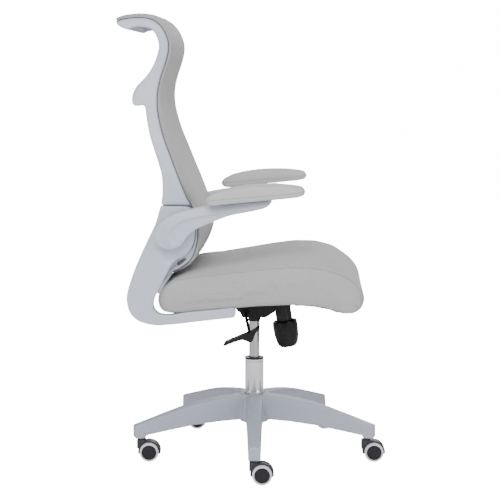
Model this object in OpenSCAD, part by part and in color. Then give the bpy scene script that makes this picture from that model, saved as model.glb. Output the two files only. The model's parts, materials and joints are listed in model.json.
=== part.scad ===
// High-back office chair: star base on twin-wheel castors, gas lift, tilting seat and back,
// flip-up armrests. The origin is on the floor under the gas lift's axis, +Z is up, the sitter
// faces -Y and the sitter's right hand is at -X.

/* [Seat] */
// Seat width across the cushion
seat_w = 500; // [460:5:520]
// Plan radius of the cushion's corners
seat_corner_r = 62; // [30:2:90]
// Thickness of the plywood seat pan
pan_t = 12; // [9:1:15]

/* [Back] */
// Thickness of the upholstered back panel
panel_t = 9; // [6:0.5:12]
// Width of the frame's rails, seen from the front
rail_w = 28; // [20:1:36]
// Half the length of the coat hanger bar
hanger_half = 160; // [120:5:165]

/* [Side yokes] */
// Distance from the middle of the chair to a yoke's inner face
yoke_in = 208; // [200:1:212]
// Thickness of a yoke
yoke_t = 32; // [24:1:34]

/* [Armrests] */
// Distance from the middle of the chair to an arm's inner face
arm_in = 242.6; // [242.6:0.2:246]
// Thickness of an arm
arm_t = 42; // [34:1:48]
// Distance from the middle of the chair to a pad's inner side
pad_in = 250; // [246:1:260]
// Width of an arm pad
pad_w = 80; // [64:2:90]
// Radius of the arm's hinge pin
arm_pin_r = 8; // [6:0.5:10]

/* [Star base] */
// Radius of the circle that the castor stems stand on
stem_circle_r = 310; // [290:5:330]
// Turn of the base under the seat
base_turn = 182.5; // [180:0.5:252]
// Outer radius of the gas lift's outer tube
column_r = 25; // [25:0.5:26]

/* [Castors] */
// Radius of a castor wheel
wheel_r = 25; // [24:0.5:26]
// Width of one wheel of the pair
wheel_w = 16; // [13:1:18]
// Distance of the wheel axle behind the stem
trail = 19; // [16:1:21]
// Direction in which all the castors trail
trail_turn = 272.5; // [0:2.5:357.5]

/* [Hidden] */
$fn = 64;

// Running clearance on the radius of a shaft in its hole
run = 0.05;
// Clearance on the radius of a fixed pin in its hole
fixed = 0.02;
// Gap between neighbouring pieces
gap = 0.3;

plastic = [0.74, 0.75, 0.79];
fabric = [0.66, 0.66, 0.66];
black = [0.13, 0.13, 0.14];
steel = [0.72, 0.73, 0.76];
ply = [0.76, 0.62, 0.44];

// ---- Curves -------------------------------------------------------------------------------

// One point of a smooth curve through p1 and p2
function spline_point(p0, p1, p2, p3, t) =
    0.5 * (2 * p1 + (p2 - p0) * t + (2 * p0 - 5 * p1 + 4 * p2 - p3) * t * t
    + (3 * p1 - p0 - 3 * p2 + p3) * t * t * t);

// A smooth curve through the points, with n steps between each two of them
function smooth(p, n = 4) = concat(
    [for (i = [0:len(p) - 2]) for (j = [0:n - 1])
        spline_point(p[max(i - 1, 0)], p[i], p[i + 1], p[min(i + 2, len(p) - 1)], j / n)],
    [p[len(p) - 1]]);

function reversed(p) = [for (i = [len(p) - 1:-1:0]) p[i]];

// The points and their mirror images, as one closed outline
function both_sides(p) = concat(p, [for (q = reversed(p)) [-q[0], q[1]]]);

// Unit normal of a line at point i, to the front of the back rest
function normal_at(p, i) =
    let (d = p[min(i + 1, len(p) - 1)] - p[max(i - 1, 0)]) [d[1], -d[0]] / norm(d);

// The line moved to its front by k
function moved(p, k) = [for (i = [0:len(p) - 1]) p[i] + k * normal_at(p, i)];

function raised(p, k) = [for (q = p) [q[0], q[1] + k]];

// Extrudes an outline in Y and Z along X, from x0 to x1
module side_shape(points, x0, x1) {
    translate([x0, 0, 0]) rotate([90, 0, 90]) linear_extrude(x1 - x0) polygon(points);
}

// Extrudes an outline in X and Z through the whole depth of the chair
module front_shape(points) {
    translate([0, 400, 0]) rotate([90, 0, 0]) linear_extrude(800) polygon(points);
}

// The same piece on the sitter's right, at -X, or on the left
module on_side(s) {
    if (s < 0) mirror([1, 0, 0]) children();
    else children();
}

// A bar of radius r along X, from x0 to x1, at a place in Y and Z
module cross_bar(place, r, x0, x1) {
    translate([x0, place[0], place[1]]) rotate([0, 90, 0]) cylinder(r = r, h = x1 - x0);
}

module tube(r_out, r_in, z0, z1) {
    translate([0, 0, z0]) difference() {
        cylinder(r = r_out, h = z1 - z0);
        translate([0, 0, -1]) cylinder(r = r_in, h = z1 - z0 + 2);
    }
}

// A round bar between two points
module rod(p, q, r) {
    d = q - p;
    translate(p) rotate([0, acos(d[2] / norm(d)), atan2(d[1], d[0])])
        cylinder(r = r, h = norm(d));
}

// ---- Star base ----------------------------------------------------------------------------

leg_top = [[0, 160], [45, 158], [85, 155.5], [125, 150.5], [165, 143.5], [200, 134.5],
    [250, 119.5], [300, 104], [318, 98], [326, 91], [329, 80], [330, 64]];
leg_bottom = [[297, 64], [297, 70], [240, 77.5], [176, 86.5], [110, 91.5], [57, 93.5],
    [0, 93.5]];
leg_plan = [[0, 22], [60, 21.5], [150, 18.5], [300, 15], [322, 14.5], [328, 11], [330, 7]];
leg_wall = 4;
hub_r = 40;
socket_r = 7.5;
stem_r = 5.5;
stem_z = [40, 84];
leg_foot_r = 10.5;
leg_foot_z = 60;

module leg() {
    intersection() {
        rotate([90, 0, 0]) translate([0, 0, -30]) linear_extrude(60)
            polygon(concat(leg_top, leg_bottom));
        translate([0, 0, 50]) linear_extrude(120)
            polygon(concat(leg_plan, [for (p = reversed(leg_plan)) [p[0], -p[1]]]));
    }
}

// The hollow under a leg, between its side walls
module leg_hollow() {
    intersection() {
        rotate([90, 0, 0]) translate([0, 0, -30]) linear_extrude(60)
            polygon([[44, 50], [44, 153], [125, 145], [200, 129], [290, 101], [290, 50]]);
        translate([0, 0, 50]) linear_extrude(120) polygon([[44, 18], [150, 14.5],
            [290, 11], [290, -11], [150, -14.5], [44, -18]]);
    }
}

module star_base() {
    color(plastic) difference() {
        union() {
            for (k = [0:4]) rotate([0, 0, base_turn + 72 * k]) {
                difference() {
                    leg();
                    leg_hollow();
                }
                translate([stem_circle_r, 0, leg_foot_z])
                    cylinder(r = leg_foot_r, h = 10);
            }
            translate([0, 0, 84]) cylinder(r = hub_r, h = 76);
        }
        translate([0, 0, 50]) cylinder(r = column_r + fixed, h = 150);
        for (k = [0:4]) rotate([0, 0, base_turn + 72 * k]) translate([stem_circle_r, 0, 50])
            cylinder(r = socket_r + fixed, h = 38);
    }
}

module castor_sockets() {
    color(steel) for (k = [0:4]) rotate([0, 0, base_turn + 72 * k])
        translate([stem_circle_r, 0, 0]) tube(socket_r, stem_r + fixed, leg_foot_z, 88);
}

module castor_stems() {
    color(steel) for (k = [0:4]) rotate([0, 0, base_turn + 72 * k])
        translate([stem_circle_r, 0, stem_z[0]]) cylinder(r = stem_r, h = stem_z[1] - stem_z[0]);
}

// ---- Castors ------------------------------------------------------------------------------

hood_r = 29.6;
hood_t = 3;
hood_half = 15;
web_half = 5;
axle_r = 3;
wheel_in = 8;
wheel_out = wheel_in + wheel_w;
housing_top = 58;

// Places a castor under the tip of leg k, trailing in the common direction
module at_castor(k) {
    rotate([0, 0, base_turn + 72 * (k - 1)]) translate([stem_circle_r, 0, 0])
        rotate([0, 0, trail_turn - base_turn - 72 * (k - 1)]) children();
}

// A disc across the castor, centred on its axle
module castor_disc(r, half) {
    translate([trail, half, wheel_r]) rotate([90, 0, 0]) cylinder(r = r, h = 2 * half);
}

module castor_housing(k) {
    color(black) at_castor(k) difference() {
        union() {
            difference() {
                union() {
                    castor_disc(hood_r, hood_half);
                    translate([-13.5, -12, 34]) cube([22, 24, 22]);
                }
                castor_disc(hood_r - hood_t, 20);
                translate([-20, -20, -10]) cube([80, 40, wheel_r + 6]);
            }
            difference() {
                castor_disc(hood_r - 1, web_half);
                translate([-20, -20, -10]) cube([80, 40, wheel_r + 2]);
            }
            translate([0, 0, 36]) cylinder(r = 7.6, h = 18);
            translate([0, 0, 54]) cylinder(r = 10.5, h = housing_top - 54);
        }
        translate([0, 0, 39.5]) cylinder(r = stem_r + run, h = 30);
        castor_disc(axle_r + fixed, 30);
    }
}

module castor_axle(k) {
    color(steel) at_castor(k) castor_disc(axle_r, wheel_out - 4.5);
}

// One wheel: a hub disc with its moulded tread. s is +1 or -1 for the two wheels of a pair.
module castor_wheel(k, s) {
    color(black) at_castor(k) translate([trail, 0, wheel_r]) rotate([s > 0 ? -90 : 90, 0, 0])
        difference() {
            rotate_extrude() polygon([[0, wheel_in], [wheel_r - 3, wheel_in],
                [wheel_r - 0.8, wheel_in + 1], [wheel_r, wheel_in + 3.5],
                [wheel_r, wheel_out - 5], [wheel_r - 1.2, wheel_out - 1.8],
                [wheel_r - 4, wheel_out], [wheel_r - 5.5, wheel_out],
                [wheel_r - 5.8, wheel_out - 1], [0, wheel_out - 1]]);
            translate([0, 0, wheel_in - 1]) cylinder(r = axle_r + run, h = wheel_w - 2.5);
        }
}

// ---- Gas lift -----------------------------------------------------------------------------

tube_z = [84, 254];
rod_r = 5;
cyl_r = 14;
cyl_bore_r = 12;
cyl_z = [178, 388];
valve_r = 5;

module column_tube() {
    color(steel) difference() {
        translate([0, 0, tube_z[0]]) cylinder(r = column_r, h = tube_z[1] - tube_z[0]);
        translate([0, 0, tube_z[0] + 4]) cylinder(r = column_r - 2, h = 200);
        translate([0, 0, 50]) cylinder(r = rod_r + run, h = 60);
    }
}

module guide_bush() {
    color(black) tube(column_r - 2 - fixed, cyl_r + run, 172, 252);
}

module column_cap() {
    color(black) union() {
        tube(column_r, cyl_r + 0.4, tube_z[1] + fixed, 258);
        tube(column_r - 3, cyl_r + 0.4, 252.3, 256);
    }
}

module gas_rod() {
    color(steel) union() {
        translate([0, 0, 76]) cylinder(r = rod_r, h = 150);
        translate([0, 0, 220]) cylinder(r = cyl_bore_r - run, h = 14);
    }
}

module thrust_bearing() {
    color(steel) tube(12, rod_r + fixed, 88.2, 91.8);
}

module retaining_clip() {
    color(steel) tube(9, rod_r + fixed, 79.5, 83.7);
}

module bump_stop() {
    color(black) tube(11, rod_r + fixed, 92, 97.4);
}

module gas_cylinder() {
    color(steel) difference() {
        translate([0, 0, cyl_z[0]]) cylinder(r = cyl_r, h = cyl_z[1] - cyl_z[0]);
        translate([0, 0, cyl_z[0] + 15]) cylinder(r = cyl_bore_r, h = 165);
        translate([0, 0, cyl_z[0] - 1]) cylinder(r = rod_r + run, h = 20);
        translate([0, 0, 364]) cylinder(r = valve_r + run, h = 30);
    }
}

module valve_pin() {
    color(steel) translate([0, 0, 368.5]) cylinder(r = valve_r, h = 25.5);
}

// ---- Tilt mechanism -----------------------------------------------------------------------

housing_half = 48;
sheet_t = 3;
tilt_axis = [-30, 400];
shaft_r = 5;
lever_axis = [20, 385];
slider_r = 7.5;
lever_r = 4;
housing_side = [[47, 394], [34, 382], [30, 372], [-33, 372], [-56, 388], [-98, 403],
    [-98, 409], [-20, 408], [10, 400]];
housing_inside = [[60, 420], [60, 404], [46, 398], [31, 384], [27, 375], [-32, 375],
    [-55, 391], [-95, 405.5], [-95, 420]];
plate_z = 413.5;
plate_half = 95;
plate_y = [-130, 75];
flange_side = [[47, plate_z + 1], [47, 405.5], [8, 405.5], [-6, 391], [-60, 391], [-98, 404],
    [-98, plate_z + 1]];
plate_bolts = [[-80, -115], [80, -115], [-80, 60], [80, 60]];

// The tension screw leans: its foot is nearer the front than its head
knob_top = [0, -76, 388];
knob_lean = -8.5;
module at_knob() {
    translate(knob_top) rotate([knob_lean, 0, 0]) children();
}

module mechanism_housing() {
    color(black) difference() {
        union() {
            difference() {
                side_shape(housing_side, -housing_half, housing_half);
                side_shape(housing_inside, -housing_half + sheet_t, housing_half - sheet_t);
            }
            translate([0, 0, 356]) cylinder(r = 16.5, h = 34);
        }
        translate([0, 0, 340]) cylinder(r = cyl_r + fixed, h = 60);
        cross_bar(tilt_axis, shaft_r + fixed, -60, 60);
        cross_bar(lever_axis, slider_r + run, -60, -30);
        at_knob() translate([0, 0, -50]) cylinder(r = 21.5 + fixed, h = 90);
    }
}

module tilt_shaft() {
    color(steel) cross_bar(tilt_axis, shaft_r, -57, 57);
}

module spring_tube() {
    color(black) at_knob() union() {
        tube(21.5, 18.5, -36, 10);
        tube(19, 5.5 + gap, 6, 10);
    }
}

coil_turns = 6;
coil_r = 14.5;
wire_r = 2.2;
coil_z = [-59, 3];
coil_steps = 16;
wire_sides = 6;

// The spring's wire as one swept skin with closed ends
module tension_spring() {
    rings = coil_turns * coil_steps;
    function ring_point(i, j) =
        let (a = 360 * i / coil_steps, b = 360 * j / wire_sides, r = coil_r + wire_r * cos(b))
        [r * cos(a), r * sin(a),
            coil_z[0] + (coil_z[1] - coil_z[0]) * i / rings + wire_r * sin(b)];
    points = [for (i = [0:rings]) for (j = [0:wire_sides - 1]) ring_point(i, j)];
    skin = [for (i = [0:rings - 1]) for (j = [0:wire_sides - 1])
        [i * wire_sides + j, i * wire_sides + (j + 1) % wire_sides,
            (i + 1) * wire_sides + (j + 1) % wire_sides, (i + 1) * wire_sides + j]];
    start = [for (j = [wire_sides - 1:-1:0]) j];
    end = [for (j = [0:wire_sides - 1]) rings * wire_sides + j];
    color(steel) at_knob() polyhedron(points, concat(skin, [start, end]), convexity = 8);
}

module tension_bolt() {
    color(steel) at_knob() union() {
        translate([0, 0, -99]) cylinder(r = rod_r, h = 112);
        translate([0, 0, 10.4]) cylinder(r = 9, h = 5.6);
    }
}

module tension_knob() {
    color(black) at_knob() rotate_extrude() polygon([[rod_r + fixed, -64], [24, -64],
        [24, -35], [30, -31], [32.5, -32.5], [33.5, -50], [32, -75], [28.5, -88],
        [22, -100], [18, -102], [rod_r + fixed, -102]]);
}

module tilt_lock_slider() {
    color(black) difference() {
        cross_bar(lever_axis, slider_r, -58, -30);
        cross_bar(lever_axis, lever_r + run, -60, -20);
    }
}

lever_bends = [[-24, 20, 385], [-76, 20, 385], [-165, 3, 342], [-206, 3, 342]];

module lever_rod() {
    color(steel) union() {
        for (i = [0:2]) rod(lever_bends[i], lever_bends[i + 1], lever_r);
        for (i = [1:2]) translate(lever_bends[i]) sphere(r = lever_r + gap);
        translate([-29.5, 16, 385]) cube([5.5, 8, 12.4]);
        translate([-29.5, -1, 394.4]) cube([43.5, 25, 3]);
    }
}

module lever_paddle() {
    color(black) difference() {
        union() {
            side_shape(smooth([[74, 319], [71, 324], [45, 330], [22, 336], [8, 346],
                [-17, 366], [-21, 362], [-8, 345], [-3, 335], [8, 331], [30, 327],
                [55, 320], [74, 319]], 3), -216, -180);
            cross_bar([3, 342], 8, -216, -180);
        }
        cross_bar([3, 342], lever_r + fixed, -207, -170);
    }
}

module tilt_plate() {
    color(black) difference() {
        union() {
            translate([-plate_half, plate_y[0], plate_z])
                cube([2 * plate_half, plate_y[1] - plate_y[0], sheet_t]);
            side_shape(flange_side, 50, 53);
            side_shape(flange_side, -53, -50);
        }
        cross_bar(tilt_axis, shaft_r + run, -60, 60);
        for (p = plate_bolts) translate([p[0], p[1], 400]) cylinder(r = 3.1, h = 30);
    }
}

// ---- Seat ---------------------------------------------------------------------------------

// Underside of the pan, from the back to the front
pan_line = [[180, 416.8], [124, 421.5], [39, 431], [-18, 436.5], [-105, 440.5], [-162, 436],
    [-199, 429], [-218, 421]];
pan_half = 224;
cushion_side = smooth([[215, 416], [226, 430], [229, 450], [224, 468], [210, 482],
    [189, 493], [164, 502], [133, 509], [102, 514], [39, 523], [-47, 533], [-104, 537],
    [-161, 536], [-203, 526], [-241, 508], [-268, 484], [-282, 457], [-281, 430],
    [-268, 409], [-248, 402], [-226, 413]], 3);

function pan_height(y, i = 0) =
    y >= pan_line[i + 1][0] || i == len(pan_line) - 2
        ? pan_line[i][1] + (pan_line[i + 1][1] - pan_line[i][1])
            * (y - pan_line[i][0]) / (pan_line[i + 1][0] - pan_line[i][0])
        : pan_height(y, i + 1);

module seat_pan() {
    color(ply) difference() {
        side_shape(concat(pan_line, reversed(raised(pan_line, pan_t))), -pan_half, pan_half);
        for (p = plate_bolts) translate([p[0], p[1], 400]) cylinder(r = 3.1, h = 60);
        for (s = [-1, 1]) for (y = yoke_bolt_y) translate([s * yoke_bolt_x, y, 380])
            cylinder(r = 4.1, h = 80);
    }
}

// Plan outline of the cushion, with round corners
module cushion_plan() {
    side = seat_w / 2 - seat_corner_r;
    polygon(concat(
        [for (a = [0:10:90]) [side + seat_corner_r * cos(a), 230 - seat_corner_r
            + seat_corner_r * sin(a)]],
        [for (a = [90:10:180]) [-side + seat_corner_r * cos(a), 230 - seat_corner_r
            + seat_corner_r * sin(a)]],
        [for (a = [180:10:270]) [-side + seat_corner_r * cos(a), -284 + seat_corner_r
            + seat_corner_r * sin(a)]],
        [for (a = [270:10:360]) [side + seat_corner_r * cos(a), -284 + seat_corner_r
            + seat_corner_r * sin(a)]]));
}

module seat_cushion() {
    pocket = concat(raised(pan_line, -40), reversed(raised(pan_line, pan_t + gap)));
    color(fabric) difference() {
        intersection() {
            side_shape(concat(cushion_side, [[-199, 428.5], [-162, 435.5], [-105, 440],
                [-18, 436], [39, 430.5], [124, 421]]), -seat_w / 2, seat_w / 2);
            translate([0, 0, 380]) linear_extrude(180) cushion_plan();
        }
        side_shape(pocket, -pan_half - gap, pan_half + gap);
        translate([-pan_half - gap, -218 - gap, 380]) cube([2 * pan_half + 2 * gap, 1, 41]);
    }
}

module under_cover() {
    front_line = [for (p = pan_line) if (p[0] < 40) p];
    rear_line = [for (p = pan_line) if (p[0] > 30) p];
    boss_line = concat([[plate_y[1], pan_height(plate_y[1])]],
        [for (p = pan_line) if (p[0] < plate_y[1] && p[0] > plate_y[0]) p],
        [[plate_y[0], pan_height(plate_y[0])]]);
    color(black) difference() {
        union() {
            side_shape(concat(raised(front_line, -gap),
                reversed(raised(front_line, -9))), -205, 205);
            side_shape(concat(raised(rear_line, -gap),
                reversed(raised(rear_line, -5))), -200, 200);
            side_shape(concat(raised(boss_line, -gap),
                [[plate_y[0], plate_z + sheet_t + gap], [plate_y[1], plate_z + sheet_t + gap]]),
                -plate_half, plate_half);
        }
        for (p = plate_bolts) translate([p[0], p[1], 400]) cylinder(r = 3.3, h = 60);
    }
}

module seat_bolts() {
    color(steel) for (p = plate_bolts) translate([p[0], p[1], 0]) {
        translate([0, 0, plate_z - 4]) cylinder(r = 6, h = 4 - fixed);
        translate([0, 0, plate_z - 1]) cylinder(r = 3,
            h = pan_height(p[1]) + pan_t - 3 - plate_z);
    }
}

// ---- Side yokes ---------------------------------------------------------------------------

yoke_side = smooth([[224, 684], [228, 668], [237, 639], [254, 603],
    [273, 563], [289, 526], [299, 498], [308, 470], [310.5, 448], [307, 425], [297, 406],
    [279, 392], [252, 384], [226, 382.5], [192, 385], [152, 390], [76, 399.5], [44, 403.5],
    [38, 409], [38, 422], [43, 428.5], [76, 424.8], [124, 419.8], [152, 417.3],
    [176, 413.5], [195, 409.8], [222, 409.5],
    [236, 416], [243, 426], [244, 439], [239, 456], [228, 475], [207, 517], [192, 543],
    [168, 556], [150, 574], [141, 596], [139, 622], [141, 650], [148, 674], [160, 684]], 3);
pivot = [202, 612];
yoke_bolt_x = 216;
yoke_bolt_y = [80, 165];
// Height of the yoke's underside at its bolts
yoke_bolt_z = [399, 388.3];

module yoke(s) {
    color(plastic) on_side(s) difference() {
        side_shape(yoke_side, yoke_in, yoke_in + yoke_t);
        cross_bar(pivot, arm_pin_r + run, yoke_in - 1, yoke_in + yoke_t + 1);
        for (i = [0, 1]) translate([yoke_bolt_x, yoke_bolt_y[i], yoke_bolt_z[i] - 4]) {
            cylinder(r = 4.1, h = 60);
            cylinder(r = 7.1, h = 10);
        }
    }
}
module yoke_right() yoke(-1);
module yoke_left() yoke(1);

module yoke_bolts() {
    color(steel) for (s = [-1, 1]) for (i = [0, 1])
        translate([s * yoke_bolt_x, yoke_bolt_y[i], yoke_bolt_z[i] + 2]) {
            cylinder(r = 7, h = 3.9);
            cylinder(r = 4, h = pan_height(yoke_bolt_y[i]) + pan_t - 4 - yoke_bolt_z[i]);
        }
}

module arm_washers() {
    color(black) for (s = [-1, 1]) on_side(s)
        translate([yoke_in + yoke_t + 0.1, pivot[0], pivot[1]]) rotate([0, 90, 0])
            tube(20, arm_pin_r + gap, 0, 2.2);
}

// ---- Back ---------------------------------------------------------------------------------

// Front edge of the frame's rails, from the tip of the head rest to the yokes
seam_top = smooth([[340, 1139], [323, 1145], [290, 1149], [260, 1147], [240, 1139],
    [223, 1122], [211, 1096], [208, 1076], [212, 1052], [220, 1026], [229, 998], [235, 965],
    [235, 930], [228, 892], [216, 851], [199, 807], [182, 762], [167, 725], [150, 684.3]], 4);
// The same edge between the yokes, down to the bottom rail
seam_low = smooth([[150, 684.3], [140, 655], [134, 622], [135, 594], [142, 566], [152, 546],
    [168, 531], [184, 521], [197, 515]], 4);
// Rear edge of the rails, from the yokes up to the tip of the head rest
rear_top = smooth([[223, 684.3], [219, 722], [221, 760], [228, 789], [237, 822], [248, 859],
    [256, 900], [262, 933], [266, 960], [268, 985], [260, 1010], [247, 1034], [237, 1060],
    [234, 1080], [239, 1100], [252, 1117], [268, 1122], [294, 1118], [309, 1114],
    [324, 1119], [336, 1128], [341, 1137]], 4);
rail_depth = 22;
frame_half = smooth([[236, 680], [237, 730], [234, 780], [226, 835], [212, 885], [192, 935],
    [175, 985], [167, 1035], [167, 1085], [168, 1120], [160, 1146], [140, 1160],
    [120, 1165]], 4);
low_half = yoke_in - 1.5;
bottom_rail_z = 562;

// The open window between the rails, seen from the front
module window_outline() {
    front_shape(both_sides(concat(
        [[low_half - rail_w, bottom_rail_z], [low_half - rail_w, 700]],
        [for (p = frame_half) if (p[1] > 720 && p[1] < 1100) [p[0] - rail_w, p[1]]],
        [[frame_half[len(frame_half) - 13][0] - rail_w, 1104]])));
}

// Outline of the back from the front, inset by k
module back_outline(k) {
    front_shape(both_sides([for (p = frame_half) [p[0] - k, p[1]]]));
    front_shape([[low_half - k, 500], [low_half - k, 690], [k - low_half, 690],
        [k - low_half, 500]]);
}

module back_frame() {
    color(plastic) difference() {
        intersection() {
            union() {
                side_shape(concat(seam_top, rear_top), -240, 240);
                side_shape(concat(seam_low, reversed(moved(seam_low, -rail_depth)),
                    [[205, 690], [159, 700]]), -low_half, low_half);
            }
            back_outline(0);
        }
        window_outline();
        side_shape([[262, 1090], [262, 1134], [300, 1136], [306, 1090]], -128, 128);
    }
}

module back_panel() {
    line = concat(seam_top, [for (i = [1:len(seam_low) - 9]) seam_low[i]]);
    color(fabric) intersection() {
        side_shape(concat(moved(line, gap), reversed(moved(line, panel_t))), -240, 240);
        back_outline(4);
    }
}

// A hooked bar across the neck, on a solid bracket at each end
hanger_hook = [[270, 997], [282, 988], [293, 978], [303, 965], [307, 950], [306, 936],
    [300, 930], [290, 929], [285, 933], [291, 945], [289, 956], [280, 967], [270, 975]];
hanger_bracket = [[269.5, 996], [282, 988], [293, 978], [303, 965], [307, 950], [306, 936],
    [300, 930], [290, 929], [266, 934], [269.5, 958]];

module coat_hanger() {
    color(plastic) union() {
        side_shape(hanger_hook, -hanger_half, hanger_half);
        side_shape(hanger_bracket, hanger_half - 14, hanger_half);
        side_shape(hanger_bracket, -hanger_half, 14 - hanger_half);
    }
}

module lumbar_plate() {
    line = [for (p = seam_low) if (p[1] > 572 && p[1] < 676) p];
    color(black) side_shape(concat(moved(line, -1), reversed(moved(line, -8))),
        rail_w - low_half + 1, low_half - rail_w - 1);
}

// ---- Armrests -----------------------------------------------------------------------------

arm_side = smooth([[228, 636], [207, 656], [177, 670], [139, 680], [104, 686.5], [87, 688.5],
    [50, 692.5], [8, 697], [-50, 702.3], [-54, 698], [-38, 684], [8, 673], [47, 665],
    [89, 649], [121, 635], [136, 627], [155, 611], [180, 585]], 3);
boss_r = 34;
pad_side = smooth([[87, 689.2], [106, 695], [106, 702], [97, 711], [65, 724], [8, 735],
    [-48, 739.5], [-89, 738.5], [-124, 732], [-136, 719], [-128, 710], [-75, 705],
    [-52, 703.2], [8, 697.8], [50, 693.3], [87, 689.2]], 3);
pad_corner_r = 30;

module arm(s) {
    color(plastic) on_side(s) difference() {
        union() {
            side_shape(arm_side, arm_in, arm_in + arm_t);
            cross_bar(pivot, boss_r, arm_in, arm_in + arm_t);
        }
        cross_bar(pivot, arm_pin_r + fixed, arm_in - 1, arm_in + arm_t - 6);
    }
}
module arm_right() arm(-1);
module arm_left() arm(1);

module arm_pad(s) {
    r = pad_corner_r;
    color(fabric) on_side(s) intersection() {
        side_shape(pad_side, pad_in, pad_in + pad_w);
        translate([pad_in, -136, 680]) linear_extrude(80) polygon(concat(
            [for (a = [0:15:90]) [pad_w - r + r * cos(a), 243 - r + r * sin(a)]],
            [for (a = [90:15:180]) [r + r * cos(a), 243 - r + r * sin(a)]],
            [for (a = [180:15:270]) [r + r * cos(a), r + r * sin(a)]],
            [for (a = [270:15:360]) [pad_w - r + r * cos(a), r + r * sin(a)]]));
    }
}
module arm_pad_right() arm_pad(-1);
module arm_pad_left() arm_pad(1);

module arm_pin(s) {
    color(steel) on_side(s) union() {
        cross_bar(pivot, arm_pin_r, yoke_in - 1, arm_in + arm_t - 7);
        cross_bar(pivot, 12, yoke_in - 6.5, yoke_in - gap);
    }
}
module arm_pin_right() arm_pin(-1);
module arm_pin_left() arm_pin(1);

// ---- Nodes --------------------------------------------------------------------------------

star_base();
castor_sockets();
castor_stems();
column_tube();
guide_bush();
column_cap();
gas_rod();
thrust_bearing();
retaining_clip();
bump_stop();
gas_cylinder();
mechanism_housing();
tilt_shaft();
spring_tube();
tension_spring();
valve_pin();
tilt_lock_slider();
lever_rod();
lever_paddle();
tension_bolt();
tension_knob();
tilt_plate();
seat_pan();
under_cover();
seat_cushion();
seat_bolts();
yoke_right();
yoke_left();
yoke_bolts();
arm_washers();
back_frame();
back_panel();
coat_hanger();
lumbar_plate();
arm_right();
arm_left();
arm_pad_right();
arm_pad_left();
arm_pin_right();
arm_pin_left();
castor_housing(1);  // castor_housing_1
castor_housing(2);  // castor_housing_2
castor_housing(3);  // castor_housing_3
castor_housing(4);  // castor_housing_4
castor_housing(5);  // castor_housing_5
castor_axle(1);  // castor_axle_1
castor_axle(2);  // castor_axle_2
castor_axle(3);  // castor_axle_3
castor_axle(4);  // castor_axle_4
castor_axle(5);  // castor_axle_5
castor_wheel(1, -1);  // castor_wheel_1a
castor_wheel(1, 1);  // castor_wheel_1b
castor_wheel(2, -1);  // castor_wheel_2a
castor_wheel(2, 1);  // castor_wheel_2b
castor_wheel(3, -1);  // castor_wheel_3a
castor_wheel(3, 1);  // castor_wheel_3b
castor_wheel(4, -1);  // castor_wheel_4a
castor_wheel(4, 1);  // castor_wheel_4b
castor_wheel(5, -1);  // castor_wheel_5a
castor_wheel(5, 1);  // castor_wheel_5b
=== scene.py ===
import json
import math

import bmesh
import bpy
from mathutils import Matrix, Vector


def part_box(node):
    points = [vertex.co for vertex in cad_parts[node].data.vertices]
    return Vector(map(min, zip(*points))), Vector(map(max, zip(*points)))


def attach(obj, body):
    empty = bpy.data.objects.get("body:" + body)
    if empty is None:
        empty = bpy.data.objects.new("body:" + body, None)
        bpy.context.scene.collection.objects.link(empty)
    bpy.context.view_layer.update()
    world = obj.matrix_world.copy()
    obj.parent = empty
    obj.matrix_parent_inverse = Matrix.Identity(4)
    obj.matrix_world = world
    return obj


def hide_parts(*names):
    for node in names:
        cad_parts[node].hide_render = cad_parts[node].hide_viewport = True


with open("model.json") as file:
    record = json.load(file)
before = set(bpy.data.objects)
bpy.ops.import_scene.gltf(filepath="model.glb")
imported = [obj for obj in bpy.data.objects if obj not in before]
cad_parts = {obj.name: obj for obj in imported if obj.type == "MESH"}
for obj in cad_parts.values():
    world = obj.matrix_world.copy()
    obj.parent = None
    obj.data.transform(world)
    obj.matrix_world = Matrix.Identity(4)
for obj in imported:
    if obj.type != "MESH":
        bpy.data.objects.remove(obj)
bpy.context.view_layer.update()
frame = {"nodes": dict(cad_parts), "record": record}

# ---- Star base ---------------------------------------------------------------------------
# One injection moulding of glass-filled nylon: five arched legs, open underneath, that run
# into a hub. The corners are generously rounded and the skin has a fine satin grain.

MM = 0.001
BASE_TURN = math.radians(182.5)
STEM_CIRCLE = 0.310
TUBE_BORE = 25.1


def along(x, stations):
    """Reads a value off a list of (place, value), with straight lines between them."""
    if x <= stations[0][0]:
        return stations[0][1]
    for (x0, v0), (x1, v1) in zip(stations, stations[1:]):
        if x <= x1:
            return v0 + (v1 - v0) * (x - x0) / (x1 - x0)
    return stations[-1][1]


def drop_selection():
    """Nothing selected, in object mode."""
    if bpy.context.object and bpy.context.object.mode != "OBJECT":
        bpy.ops.object.mode_set(mode="OBJECT")
    bpy.ops.object.select_all(action="DESELECT")


def pick(obj):
    """Only this piece selected, and active."""
    drop_selection()
    obj.select_set(True)
    bpy.context.view_layer.objects.active = obj


def settle(obj):
    """The piece's place goes into its mesh, and its object to the origin."""
    pick(obj)
    bpy.ops.object.transform_apply(location=True, rotation=True, scale=True)


def block(name, cuts):
    """A cube from -1 to 1, cut into a grid on every side, ready to be shaped."""
    drop_selection()
    bpy.ops.mesh.primitive_cube_add(size=2, location=(0, 0, 0))
    obj = bpy.context.active_object
    obj.name = name
    bpy.ops.object.mode_set(mode="EDIT")
    bpy.ops.mesh.select_all(action="SELECT")
    bpy.ops.mesh.subdivide(number_cuts=cuts)
    bpy.ops.object.mode_set(mode="OBJECT")
    return obj


def reshape(obj, place):
    """Every point of the piece goes where place(x, y, z) says."""
    for v in obj.data.vertices:
        v.co = place(*v.co)
    return obj


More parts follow.
